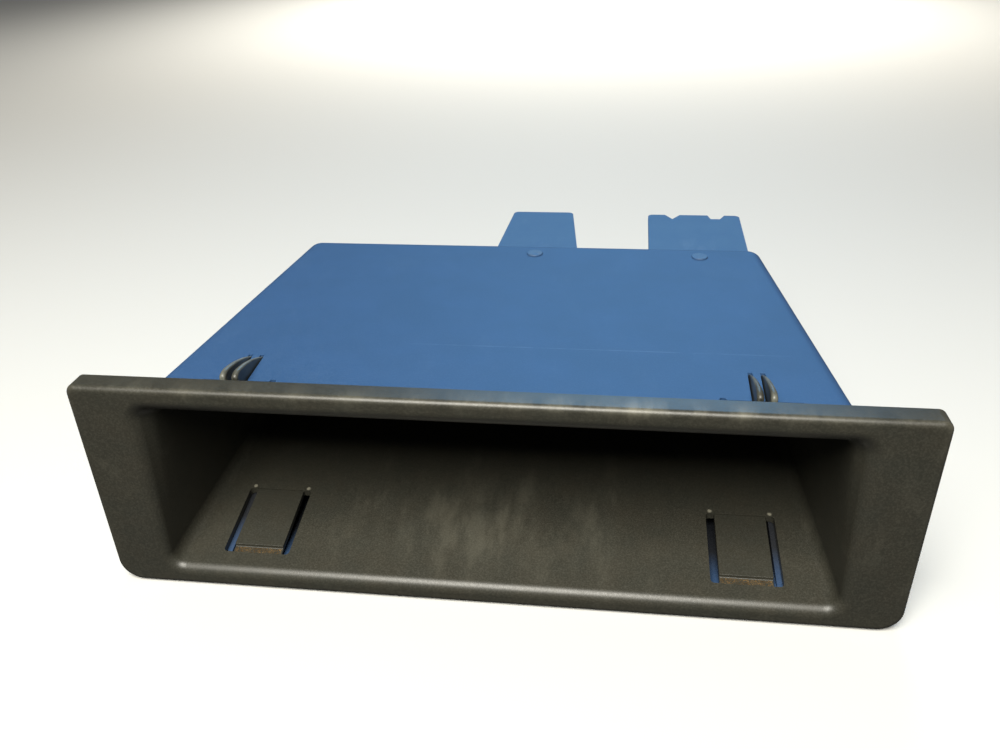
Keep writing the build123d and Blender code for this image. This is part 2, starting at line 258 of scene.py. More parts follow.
@dataclass(frozen=True)
class Section:
    """Four-sided section across the object with rounded corners, in millimetres."""

    y: float
    low_half: float
    high_half: float
    z_low: float
    z_high: float
    low_radius: float
    high_radius: float

    def grown(self, outset: float) -> "Section":
        """The same section with every side moved out."""
        return Section(
            self.y,
            self.low_half + outset,
            self.high_half + outset,
            self.z_low - outset,
            self.z_high + outset,
            max(self.low_radius + outset, 0.3),
            max(self.high_radius + outset, 0.3),
        )

    def toward(self, other: "Section", share: float) -> "Section":
        """The section part of the way to another.

        Args:
            other: the section at share 1.
            share: 0 for this section, 1 for the other.

        Returns:
            The blended section.
        """
        pairs = zip(vars(self).values(), vars(other).values())
        return Section(*[a + (b - a) * share for a, b in pairs])

    def ring(self, corner_steps: int = 8, long_steps: int = 44, short_steps: int = 14) -> list[Vector]:
        """Points round the section, the same number for every section.

        Args:
            corner_steps: spans in each rounded corner.
            long_steps: spans along the floor and the ceiling.
            short_steps: spans up each side.

        Returns:
            The ring's points, in millimetres.
        """
        corners = [
            (-self.low_half, self.z_low),
            (self.low_half, self.z_low),
            (self.high_half, self.z_high),
            (-self.high_half, self.z_high),
        ]
        radii = [self.low_radius, self.low_radius, self.high_radius, self.high_radius]
        arcs = rounded_outline(corners, radii, corner_steps)
        per_corner = corner_steps + 1
        points = []
        for i in range(4):
            arc = arcs[i * per_corner : (i + 1) * per_corner]
            following = arcs[((i + 1) % 4) * per_corner]
            spans = long_steps if i % 2 == 0 else short_steps
            points.extend(arc)
            points.extend(arc[-1].lerp(following, k / spans) for k in range(1, spans))
        return [Vector((p.x, self.y, p.y)) for p in points]


def loft(sections: list[Section], closed: bool) -> bmesh.types.BMesh:
    """Skin a run of sections.

    Args:
        sections: the sections in order.
        closed: join the last section to the first; otherwise both ends are capped.

    Returns:
        The skin as a bmesh in millimetres.
    """
    shape = bmesh.new()
    rings = [[shape.verts.new(p) for p in section.ring()] for section in sections]
    pairs = list(zip(rings, rings[1:]))
    if closed:
        pairs.append((rings[-1], rings[0]))
    for first, second in pairs:
        for i, vert in enumerate(first):
            j = (i + 1) % len(first)
            shape.faces.new((vert, first[j], second[j], second[i]))
    if not closed:
        shape.faces.new(list(reversed(rings[0])))
        shape.faces.new(rings[-1])
    return shape


@dataclass(frozen=True)
class Nest:
    """Sizes that the pocket and its housing share, in millimetres."""

    side_at_origin: float = 87.7
    side_taper: float = 0.104
    side_draft: float = 0.08
    ceiling: float = 22.6
    floor_at_origin: float = -25.3
    floor_rise: float = 0.197
    pocket_wall: float = 1.8

    def half_width(self, y: float, z: float, outset: float) -> float:
        """Half width of a box at a depth and height, moved out by outset."""
        return self.side_at_origin - self.side_taper * y - self.side_draft * z + outset

    def floor(self, y: float, outset: float = 0.0) -> float:
        """Height of the sloping floor, moved down along its normal by outset."""
        return self.floor_at_origin + self.floor_rise * y - outset * math.hypot(1, self.floor_rise)

    def pocket(self, y: float, outset: float, radius: float) -> Section:
        """Section of the sloping-floored box at depth y."""
        low, high = self.floor(y, outset), self.ceiling + outset
        return Section(
            y, self.half_width(y, low, outset), self.half_width(y, high, outset), low, high, radius, radius
        )


# ---------------------------------------------------------------- finishes


@dataclass(frozen=True)
class MouldedPlastic:
    """Injection-moulded plastic: a soft sheen over fine tool grain, broad mottling and rubbed scuffs, with a
    pale colour laid where the piece marks wear and painted highlights.

    Sizes are millimetres of the real pattern; shares are how much of the second colour shows.
    """

    name: str
    base: str
    mottle: str
    worn: str
    roughness: float = 0.45
    specular: float = 0.5
    mottle_size: float = 9.0
    mottle_share: float = 0.5
    grain_size: float = 0.45
    grain_depth: float = 0.012
    grain_share: float = 0.12
    scuff_size: float = 14.0
    scuff_share: float = 0.25
    # Near-black colour for painted shade, used inside the housing.
    painted_shade_colour: str = "141415"
    mottle_band: tuple[float, float] = (0.35, 0.7)
    grain_band: tuple[float, float] = (0.42, 0.72)
    patch_band: tuple[float, float] = (0.42, 0.62)
    scuff_band: tuple[float, float] = (0.56, 0.78)
    gloss_gain: float = 0.05
    gloss_loss: float = 0.07

    def noise(self, tree: Tree, place: Socket, size: float, detail: float, **stretch: float) -> Socket:
        """Noise whose features have a real size.

        Args:
            tree: the material's tree.
            place: Object coordinates.
            size: size of a feature in millimetres.
            detail: octaves of finer noise on top.
            stretch: axis name to how much longer the features run along it.

        Returns:
            The noise value's socket.
        """
        scale = [1 / stretch.get(axis, 1.0) for axis in "xyz"]
        drawn = add_node(tree, "ShaderNodeMapping", {"Scale": scale}, {"Vector": place})
        values = {"Scale": 1 / (size * MM), "Detail": detail, "Roughness": 0.62}
        links = {"Vector": drawn.outputs["Vector"]}
        return add_node(tree, "ShaderNodeTexNoise", values, links).outputs["Fac"]

    def ramp(self, tree: Tree, value: Socket, low: float, high: float, top: float) -> Socket:
        """Turn a value between low and high into a share between 0 and top.

        Args:
            tree: the material's tree.
            value: what is measured.
            low: the value that gives 0.
            high: the value that gives top.
            top: the largest share.

        Returns:
            The share's socket.
        """
        values = {"From Min": low, "From Max": high, "To Min": 0.0, "To Max": top}
        return add_node(tree, "ShaderNodeMapRange", values, {"Value": value}).outputs["Result"]

    def marks(self, tree: Tree, place: Socket) -> Socket | None:
        """Marks that only one kind of piece has, as a share of the worn colour; none on plain plastic."""
        return None

    def painted_shade(self, tree: Tree, place: Socket) -> Socket | None:
        """Where shade is painted on the piece, as a share of the painted shade colour; nowhere on most
        pieces.
        """
        return None

    def blend(self, tree: Tree, share: Socket, under: Socket | str, over: str) -> Socket:
        """Lay a colour over another.

        Args:
            tree: the material's tree.
            share: socket of how much shows.
            under: socket or hex of the colour below.
            over: hex of the colour on top.

        Returns:
            The mixed colour's socket.
        """
        mix = tree.nodes.new("ShaderNodeMix")
        mix.data_type = "RGBA"
        sockets = [socket for socket in mix.inputs if socket.type == "RGBA"]
        tree.links.new(share, mix.inputs[0])
        if isinstance(under, str):
            sockets[0].default_value = linear(under)
        else:
            tree.links.new(under, sockets[0])
        sockets[1].default_value = linear(over)
        return next(socket for socket in mix.outputs if socket.type == "RGBA")

    def build(self) -> Finish:
        """Build the material.

        Returns:
            A material that reads Object coordinates and the piece's wear_and_highlight attribute, which lays
            painted highlights and wear in the pale colour.
        """
        material = bpy.data.materials.new(self.name)
        material.use_nodes = True
        tree = material.node_tree
        tree.nodes.clear()
        place = add_node(tree, "ShaderNodeTexCoord", {}, {}).outputs["Object"]
        broad = self.noise(tree, place, self.mottle_size, 3.0)
        fine = self.noise(tree, place, self.grain_size, 2.0)
        scuff_and_highlight_noise = self.noise(tree, place, self.scuff_size, 7.0, x=0.6, y=1.8)
        mottled = self.ramp(tree, broad, *self.mottle_band, self.mottle_share)
        grained = self.ramp(tree, fine, *self.grain_band, self.grain_share)
        colour = self.blend(tree, mottled, self.base, self.mottle)
        colour = self.blend(tree, grained, colour, self.worn)
        # The wear_and_highlight attribute: real wear mixed with painted highlights on the bezel's edges and
        # the barbs.
        wear_and_highlight = add_node(tree, "ShaderNodeAttribute", {}, {}, attribute_name="wear_and_highlight").outputs["Fac"]
        patchy = self.ramp(tree, scuff_and_highlight_noise, *self.patch_band, 1.0)
        wear_and_highlight_share = add_node(tree, "ShaderNodeMath", {}, {0: wear_and_highlight, 1: patchy}, operation="MULTIPLY")
        scuffs = self.ramp(tree, scuff_and_highlight_noise, *self.scuff_band, self.scuff_share)
        share = wear_and_highlight_share.outputs["Value"]
        for more in (scuffs, self.marks(tree, place)):
            if more is not None:
                both = {0: share, 1: more}
                total = add_node(tree, "ShaderNodeMath", {}, both, operation="ADD", use_clamp=True)
                share = total.outputs["Value"]
        # Lays the pale colour: scuffs and marks, and the painted highlights that the attribute and the
        # panel's line carry.
        colour = self.blend(tree, share, colour, self.worn)
        # Painted shade: darkens the faces that the piece marks, such as the housing's inside.
        painted_shade = self.painted_shade(tree, place)
        if painted_shade is not None:
            colour = self.blend(tree, painted_shade, colour, self.painted_shade_colour)
        smoothest, dullest = self.roughness - self.gloss_gain, self.roughness + self.gloss_loss
        gloss = {"From Min": 0.3, "From Max": 0.7, "To Min": smoothest, "To Max": dullest}
        dull = add_node(tree, "ShaderNodeMapRange", gloss, {"Value": fine}).outputs["Result"]
        depth = {"Strength": 1.0, "Distance": self.grain_depth * MM}
        relief = add_node(tree, "ShaderNodeBump", depth, {"Height": fine}).outputs["Normal"]
        surface = add_node(
            tree,
            "ShaderNodeBsdfPrincipled",
            {"Specular IOR Level": self.specular, "IOR": 1.5},
            {"Base Color": colour, "Roughness": dull, "Normal": relief},
        )
        add_node(tree, "ShaderNodeOutputMaterial", {}, {"Surface": surface.outputs["BSDF"]})
        return material


@dataclass(frozen=True)
class PocketPlastic(MouldedPlastic):
    """Black plastic of the pocket, rubbed pale in a small spot at the end of each slot in the floor."""

    spots: tuple[Point, ...] = ((59.2, 24.3, -20.5), (75.8, 24.3, -20.5))
    spot_size: float = 0.75
    spot_share: float = 0.8

    def marks(self, tree: Tree, place: Socket) -> Socket:
        """Small rubbed spots, the same on both sides."""
        both = add_node(tree, "ShaderNodeVectorMath", {}, {0: place}, operation="ABSOLUTE").outputs["Vector"]
        total = None
        for spot in self.spots:
            centre = [abs(c) * MM for c in spot]
            gap = add_node(tree, "ShaderNodeVectorMath", {1: centre}, {0: both}, operation="DISTANCE")
            edge, core = self.spot_size * MM, 0.4 * self.spot_size * MM
            near = self.ramp(tree, gap.outputs["Value"], edge, core, 1.0)
            if total is None:
                total = near
            else:
                summed = add_node(tree, "ShaderNodeMath", {}, {0: total, 1: near}, operation="ADD")
                total = summed.outputs["Value"]
        scaled = add_node(tree, "ShaderNodeMath", {1: self.spot_share}, {0: total}, operation="MULTIPLY")
        return scaled.outputs["Value"]


@dataclass(frozen=True)
class PanelPlastic(MouldedPlastic):
    """Blue plastic of the housing: a faint pale line across its top panel, a painted highlight where a
    tool-joint ridge would catch the light, and painted shade on its inside faces.
    """

    line_y: float = 31.5
    line_width: float = 0.5
    line_centre: float = 26.0
    line_half_length: float = 54.0
    line_share: float = 0.35
    inside_low: Point = (-80.0, -5.0, -28.5)
    inside_high: Point = (80.0, 60.0, 25.6)
    inside_fade: Point = (1.0, 0.01, 1.0)
    painted_shade_share: float = 0.96

    def marks(self, tree: Tree, place: Socket) -> Socket:
        """A thin painted highlight across the piece that fades out at its ends."""
        axes = add_node(tree, "ShaderNodeSeparateXYZ", {}, {"Vector": place}).outputs
        gaps = []
        for axis, place_on_axis in (("Y", self.line_y), ("X", self.line_centre)):
            off = add_node(tree, "ShaderNodeMath", {1: -place_on_axis * MM}, {0: axes[axis]}, operation="ADD")
            gap = add_node(tree, "ShaderNodeMath", {}, {0: off.outputs["Value"]}, operation="ABSOLUTE")
            gaps.append(gap.outputs["Value"])
        # Painted highlight: the pale line where a tool-joint ridge would catch the light.
        across = self.ramp(tree, gaps[0], self.line_width * MM / 2, 0.0, self.line_share)
        reach = self.line_half_length * MM
        along = self.ramp(tree, gaps[1], reach, 0.8 * reach, 1.0)
        both = add_node(tree, "ShaderNodeMath", {}, {0: across, 1: along}, operation="MULTIPLY")
        broken = self.ramp(tree, self.noise(tree, place, 5.0, 3.0), 0.3, 0.6, 1.0)
        parts = {0: both.outputs["Value"], 1: broken}
        return add_node(tree, "ShaderNodeMath", {}, parts, operation="MULTIPLY").outputs["Value"]

    def painted_shade(self, tree: Tree, place: Socket) -> Socket:
        """Painted shade on the inner faces, which lie inside a box between the wall's two skins."""
        middle = [(a + b) / 2 * MM for a, b in zip(self.inside_low, self.inside_high)]
        half = [(b - a) / 2 * MM for a, b in zip(self.inside_low, self.inside_high)]
        steps = (("SUBTRACT", middle), ("ABSOLUTE", None), ("SUBTRACT", half), ("MULTIPLY", self.inside_fade))
        past = place
        for operation, amount in steps:
            values = {} if amount is None else {1: amount}
            step = add_node(tree, "ShaderNodeVectorMath", values, {0: past}, operation=operation)
            past = step.outputs["Vector"]
        axes = add_node(tree, "ShaderNodeSeparateXYZ", {}, {"Vector": past}).outputs
        wide = add_node(tree, "ShaderNodeMath", {}, {0: axes["X"], 1: axes["Y"]}, operation="MAXIMUM")
        pair = {0: wide.outputs["Value"], 1: axes["Z"]}
        worst = add_node(tree, "ShaderNodeMath", {}, pair, operation="MAXIMUM")
        # Painted shade: near black over the inside faces, so the gaps seen through the slots look shadowed.
        return self.ramp(tree, worst.outputs["Value"], 0.0, -0.2 * MM, self.painted_shade_share)


@dataclass(frozen=True)
class LooseDust:
    """Fine brown road dust: dull grains that scatter light and have no sheen."""

    name: str = "brown_dust"
    base: str = "6B5638"
    dark: str = "43341F"

    def build(self) -> Finish:
        """Build the material, which varies a little from grain to grain.

        Returns:
            The dust material.
        """
        material = bpy.data.materials.new(self.name)
        material.use_nodes = True
        tree = material.node_tree
        shader = tree.nodes["Principled BSDF"]
        shader.inputs["Roughness"].default_value = 0.95
        shader.inputs["Specular IOR Level"].default_value = 0.1
        place = add_node(tree, "ShaderNodeTexCoord", {}, {}).outputs["Object"]
        patches = add_node(tree, "ShaderNodeTexNoise", {"Scale": 1 / (1.2 * MM)}, {"Vector": place})
        ramp = add_node(tree, "ShaderNodeValToRGB", {}, {"Fac": patches.outputs["Fac"]})
        for stop, colour in zip(ramp.color_ramp.elements, (self.dark, self.base)):
            stop.color = linear(colour)
        ramp.color_ramp.elements[0].position = 0.35
        ramp.color_ramp.elements[1].position = 0.65
        tree.links.new(ramp.outputs["Color"], shader.inputs["Base Color"])
        return material


def dress(piece: Piece, material: Finish) -> None:
    """Give the piece one material on all of its faces."""
    piece.data.materials.clear()
    piece.data.materials.append(material)


# ABS from a satin-grained tool, black with an olive cast; handling has rubbed it paler and browner, and the
# same paler, browner colour paints the highlight on the bezel's front edges.
BLACK_ABS = PocketPlastic(
    "black_moulded_abs", "2C2C26", "322F27", "8C897A", roughness=0.38, scuff_share=0.08, grain_share=0.06
)
# The same ABS on the spring tongues and barbs; its grey is painted on the barbs' crowned edges and noses as a
# highlight, and as rubbing where they snap past the panel.
LATCH_ABS = MouldedPlastic(
    "black_latch_abs", "2C2C26", "322F27", "6E7068", roughness=0.38, scuff_share=0.05, grain_share=0.06
)
# Blue polypropylene from a spark-eroded tool: an even, matt skin.
BLUE_PP = PanelPlastic(
    "blue_moulded_polypropylene",
    "214269",
    "264873",
    "64809F",
    roughness=0.6,
    scuff_share=0.05,
    mottle_size=16.0,
)
# The same plastic on the thin straps, a little paler.
STRAP_PP = MouldedPlastic(
    "blue_strap_polypropylene",
    "274970",
    "2F5073",
    "758BA3",
    roughness=0.6,
    scuff_share=0.15,
    mottle_size=8.0,
)
# Steel rivet head under blue paint that has worn to a brownish undercoat.
RIVET_PAINT = MouldedPlastic(
    "painted_rivet_steel",
    "264870",
    "3C4E62",
    "6C6963",
    roughness=0.5,
    scuff_share=0.3,
    mottle_size=2.0,
    scuff_size=3.0,
)
DUST = LooseDust()


# ---------------------------------------------------------------- pieces


@dataclass
class PocketMoulding:
    """Bezel, rolled mouth and sloping-floored box in one black moulding."""

    nest: Nest
    front_wall: float = 2.5
    rim_wall: float = 2.0
    rim_softness: float = 0.2
    edge_round: float = 1.5
    top_corner: float = 2.4
    bottom_corner: float = 6.2
    mouth_half_width: float = 89.6
    mouth_low: float = -26.6
    mouth_high: float = 25.4
    mouth_corner: float = 4.0
    roll: float = 2.5
    inner_corner: float = 3.0
    station_step: int = 6
    arc_steps: int = 8
    wear_and_highlight_depth: float = 0.8
    wear_and_highlight_reach: float = 2.0
    wear_and_highlight_height: float = 2.6
    scraped_x: float = 38.0
    scraped_length: float = 30.0
    handled_length: float = 34.0
    handled_depth: float = 16.0
    handled_reach: float = 26.0
    floor_latch_x: float = 67.5
    ceiling_latch_x: float = 66.5
    window_reach: float = 9.5
    window_corner: float = 1.1
    floor_window: tuple[float, float] = (0.1, 23.5)
    ceiling_window: tuple[float, float] = (-0.5, 24.25)

    def __post_init__(self) -> None:
        """Read the moulding's box from the frame, in millimetres."""
        self.low, self.high = (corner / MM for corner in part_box("pocket_moulding"))

    def bezel(self, y: float, inset: float) -> Section:
        """Outline of the bezel at depth y, moved in by inset."""
        half = self.high.x - inset
        corners = (self.bottom_corner - inset / 2, self.top_corner - inset / 2)
        return Section(y, half, half, self.low.z + inset, self.high.z - inset, *corners)

    def mouth(self, y: float, outset: float) -> Section:
        """Section of the flare between the bezel's face and the panel plane."""
        half, corner = self.mouth_half_width, self.mouth_corner
        front = Section(self.low.y, half, half, self.mouth_low, self.mouth_high, corner, corner)
        rear = self.nest.pocket(0.0, 0.0, self.inner_corner)
        return front.toward(rear, (y - self.low.y) / -self.low.y).grown(outset)

    def arc(self, radius: float) -> list[tuple[float, float]]:
        """Quarter round as pairs of along and in, from (radius, 0) on the long side to (0, radius)."""
        turns = [math.pi / 2 * k / self.arc_steps for k in range(self.arc_steps + 1)]
        return [(radius * (1 - math.sin(turn)), radius * (1 - math.cos(turn))) for turn in turns]

    def box_run(self, y_end: float, outset: float) -> list[Section]:
        """Sections of the box from the panel plane to its rounded rear end at y_end."""
        corner = self.inner_corner + outset
        stations = range(0, int(y_end - corner), self.station_step)
        run = [self.nest.pocket(float(y), outset, corner) for y in stations]
        run += [self.nest.pocket(y_end - back, outset - inward, corner) for back, inward in self.arc(corner)]
        return run

    def sections(self) -> list[Section]:
        """All sections of the skin, from the inner rear wall round the bezel to the outer rear wall."""
        wall, face = self.nest.pocket_wall, self.low.y
        inner = list(reversed(self.box_run(self.high.y - wall, 0.0)))
        roll_start = face + self.roll
        inner += [self.mouth(roll_start * share, 0.0) for share in (0.5, 1.0)]
        inner += [self.mouth(face + back, inward) for back, inward in self.arc(self.roll)[1:]]
        face_edge = self.bezel(face, self.edge_round)
        inner += [inner[-1].toward(face_edge, k / self.station_step) for k in range(1, self.station_step + 1)]
        outer = [self.bezel(face + inward, back) for back, inward in self.arc(self.edge_round)[1:]]
        soft, back = self.rim_softness, face + self.front_wall
        outer += [self.bezel(-soft, 0.0), self.bezel(0.0, soft), self.bezel(0.0, self.rim_wall - soft)]
        outer += [self.bezel(-soft, self.rim_wall), self.bezel(back, self.rim_wall)]
        outer += [self.mouth(back, wall), self.mouth(back / 2, wall)]
        return inner + outer + self.box_run(self.high.y, wall)

    def window(self, x: float, span: tuple[float, float], heights: tuple[float, float]) -> Piece:
        """Tool that cuts the round-cornered window of one tongue.

        Args:
            x: middle of the tongue.
            span: front and rear of the window.
            heights: bottom and top of the cut.

        Returns:
            The closed cutting tool.
        """
        left, right = x - self.window_reach, x + self.window_reach
        plan = [(left, span[0]), (right, span[0]), (right, span[1]), (left, span[1])]
        outline = rounded_outline(plan, [self.window_corner] * 4, self.arc_steps // 2)
        shape = bmesh.new()
        prism(shape, [(p.x, p.y, heights[0]) for p in outline], Vector((0, 0, heights[1] - heights[0])))
        return mesh_object("window", shape)

    def mark_wear_and_highlight(self, piece: Piece) -> None:
        """Store each point's share of the pale colour: a painted highlight along the front edges, stronger on
        the top one right of the middle where it is also scraped, and light scuffs on the floor.
        """
        wear_and_highlight = piece.data.attributes.new("wear_and_highlight", "FLOAT", "POINT")
        for point, item in zip(piece.data.vertices, wear_and_highlight.data):
            x, y, z = point.co / MM
            near_face = max(0.0, 1 - abs(y - self.low.y - self.wear_and_highlight_depth) / self.wear_and_highlight_reach)
            near_top = max(0.0, 1 - abs(self.high.z - z) / self.wear_and_highlight_height)
            near_side = max(0.0, 1 - abs(self.high.x - abs(x)) / self.wear_and_highlight_reach)
            scraped = math.exp(-(((x - self.scraped_x) / self.scraped_length) ** 2))
            inward = max(0.0, 1 - abs(y - self.handled_depth) / self.handled_reach)
            on_floor = math.exp(-((x / self.handled_length) ** 2)) * inward if z < 0 else 0.0
            # Painted highlight: a pale band along the front top and side edges; the scraped term adds real
            # scratches right of the middle, and on_floor adds floor scuffs.
            item.value = near_face * (near_top * (0.15 + 0.3 * scraped) + 0.15 * near_side) + 0.1 * on_floor

    def build(self, material: Finish) -> None:
        """Make the moulding and hang it on the pocket body.

        Args:
            material: its finish.
        """
        piece = mesh_object("storage_pocket", loft(self.sections(), closed=False))
        wall = self.nest.pocket_wall
        floor_cut = (self.mouth_low - 2 * wall, self.mouth_low + 5 * wall)
        ceiling_cut = (self.nest.ceiling - wall / 2, self.nest.ceiling + 2 * wall)
        for side in Side:
            floor_x, ceiling_x = side.value * self.floor_latch_x, side.value * self.ceiling_latch_x
            combine(piece, self.window(floor_x, self.floor_window, floor_cut), "DIFFERENCE")
            combine(piece, self.window(ceiling_x, self.ceiling_window, ceiling_cut), "DIFFERENCE")
        self.mark_wear_and_highlight(piece)
        smooth(piece)
        dress(piece, material)
        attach(piece, "pocket")
        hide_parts("pocket_moulding")
        LOG.info("pocket moulding: %d faces", len(piece.data.polygons))


@dataclass
class SpringLatch:
    """Tongue cut from the pocket's wall, with a pair of barbs that snap behind the panel."""

    nest: Nest
    side: Side
    wall: Wall
    floor_centre: float = 67.5
    ceiling_centre: float = 66.5
    half_width: float = 7.1
    skin: float = 0.025
    edge_softness: float = 0.2
    root_overlap: float = 0.235
    root_swing: float = 0.205
    ledge_tip: float = 0.6
    ledge_drop: float = 0.9
    barb_half_pitch: float = 1.6
    barb_front: float = 3.0
    nose_length: float = 2.6
    nose_drop: float = 1.4
    back_bulge: float = 0.8
    floor_tip_drop: float = 1.0
    ceiling_tip: float = 26.1
    barb_half_width: float = 0.9
    tip_half_width: float = 0.25
    blunt_length: float = 0.9
    blunt_share: float = 0.45
    crown_share: float = 0.8
    crest_wear_and_highlight: float = 1.1
    nose_wear_and_highlight: float = 2.2
    most_wear_and_highlight: float = 0.95
    front_crowding: float = 1.6
    barb_stations: int = 26
    crown_steps: int = 10

    def __post_init__(self) -> None:
        """Set the lengths that differ between a floor tongue and a ceiling tongue."""
        on_floor = self.wall is Wall.FLOOR
        self.name = f"{self.wall.word}_latch_{self.side.word}"
        self.x = self.side.value * (self.floor_centre if on_floor else self.ceiling_centre)
        self.tip_y = 2.9 if on_floor else 2.0
        self.root_y = (23.25 if on_floor else 24.0) + self.root_overlap
        self.barb_rear = 17.0 if on_floor else 21.5
        low, high = (corner.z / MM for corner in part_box(self.name))
        self.crest = low if on_floor else high
        underside = self.nest.floor(self.barb_rear, self.nest.pocket_wall)
        self.tip_height = underside - self.floor_tip_drop if on_floor else self.ceiling_tip

    def heights(self, y: float) -> tuple[float, float]:
        """Bottom and top of the tongue at depth y."""
        wall = self.nest.pocket_wall
        if self.wall is Wall.FLOOR:
            return self.nest.floor(y, wall - self.skin), self.nest.floor(y, self.skin)
        return self.nest.ceiling + self.skin, self.nest.ceiling + wall - self.skin

    def tongue(self) -> bmesh.types.BMesh:
        """Flat tongue whose root face slants to leave room to bend; on the floor it has a dropped ledge."""
        (tip_low, tip_high), (root_low, root_high) = self.heights(self.tip_y), self.heights(self.root_y)
        swung = self.root_y - self.root_swing
        roots = (self.root_y, swung) if self.wall is Wall.FLOOR else (swung, self.root_y)
        root = [(roots[0], root_low), (roots[1], root_high)]
        profile = [(self.tip_y, tip_low), *root, (self.tip_y, tip_high)]
        if self.wall is Wall.FLOOR:
            ledge_low = self.heights(self.ledge_tip)[0]
            drops = [(y, self.nest.floor(y, self.ledge_drop)) for y in (self.tip_y, self.ledge_tip)]
            profile = [(self.ledge_tip, ledge_low), *profile[1:], *drops]
        shape = bmesh.new()
        start = self.x - self.half_width
        prism(shape, [(start, y, z) for y, z in profile], Vector((2 * self.half_width, 0, 0)))
        return shape

    def barb_edge(self, y: float) -> float:
        """Height of a barb's working edge at depth y: a round nose, then a long bulging back."""
        up = self.wall.value
        along = (y - self.barb_front) / self.nose_length
        if along < 1:
            return self.crest - up * self.nose_drop * (1 - math.sqrt(max(0.0, 1 - (1 - along) ** 2)))
        nose_end = self.barb_front + self.nose_length
        share = (y - nose_end) / (self.barb_rear - nose_end)
        bulge = up * self.back_bulge * 4 * share * (1 - share)
        return self.crest + (self.tip_height - self.crest) * share + bulge

    def barb_half(self, y: float) -> float:
        """Half width of a barb at depth y: round in front, then thinning to the rear tip."""
        share = (y - self.barb_front) / (self.barb_rear - self.barb_front)
        body = self.barb_half_width + (self.tip_half_width - self.barb_half_width) * share
        front = min(1.0, (y - self.barb_front) / self.blunt_length)
        return body * (self.blunt_share + (1 - self.blunt_share) * math.sqrt(max(0.0, 1 - (1 - front) ** 2)))

    def barb(self, x: float) -> bmesh.types.BMesh:
        """One barb with a crowned edge, as a stack of arched sections from front to rear."""
        shape = bmesh.new()
        foot = sum(self.heights(self.barb_front)) / 2 if self.wall is Wall.CEILING else None
        rings = []
        length = self.barb_rear - self.barb_front
        for k in range(self.barb_stations + 1):
            y = self.barb_front + length * (k / self.barb_stations) ** self.front_crowding
            edge, half = self.barb_edge(y), self.barb_half(y)
            base = foot if foot is not None else sum(self.heights(y)) / 2
            crown = min(half, abs(edge - base) * self.crown_share) * self.wall.value
            ring = [(x - half, y, base)]
            for turn in range(self.crown_steps + 1):
                angle = math.pi * turn / self.crown_steps
                ring.append((x - half * math.cos(angle), y, edge - crown + crown * math.sin(angle)))
            ring.append((x + half, y, base))
            rings.append([shape.verts.new(p) for p in ring])
        for first, second in zip(rings, rings[1:]):
            for i, vert in enumerate(first):
                j = (i + 1) % len(first)
                shape.faces.new((vert, first[j], second[j], second[i]))
        shape.faces.new(rings[0])
        shape.faces.new(list(reversed(rings[-1])))
        return shape

    def mark_wear_and_highlight(self, piece: Piece) -> None:
        """Store each point's share of the grey on the barbs' noses and crowned edges: a painted highlight,
        with rubbing wear.
        """
        wear_and_highlight = piece.data.attributes.new("wear_and_highlight", "FLOAT", "POINT")
        up = self.wall.value
        for point, item in zip(piece.data.vertices, wear_and_highlight.data):
            y, z = point.co.y / MM, point.co.z / MM
            proud = up * (z - sum(self.heights(y)) / 2) > self.nest.pocket_wall
            below_edge = up * (self.barb_edge(min(max(y, self.barb_front), self.barb_rear)) - z)
            crowned = max(0.0, 1 - below_edge / self.crest_wear_and_highlight)
            nosed = max(0.0, 1 - (y - self.barb_front) / self.nose_wear_and_highlight)
            # Painted highlight with rubbing: grey on the crowned edge and the nose of each barb.
            item.value = self.most_wear_and_highlight * max(crowned, nosed) if proud else 0.0

    def build(self, material: Finish) -> None:
        """Make the latch and hang it on its own body.

        Args:
            material: its finish.
        """
        piece = mesh_object(f"spring_{self.name}", self.tongue())
        round_edges(piece, self.edge_softness)
        for offset in (-self.barb_half_pitch, self.barb_half_pitch):
            combine(piece, mesh_object("barb", self.barb(self.x + offset)), "UNION")
        self.mark_wear_and_highlight(piece)
        smooth(piece, angle=38.0)
        dress(piece, material)
        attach(piece, self.name)
        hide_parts(self.name)
        LOG.info("%s: %d faces", piece.name, len(piece.data.polygons))


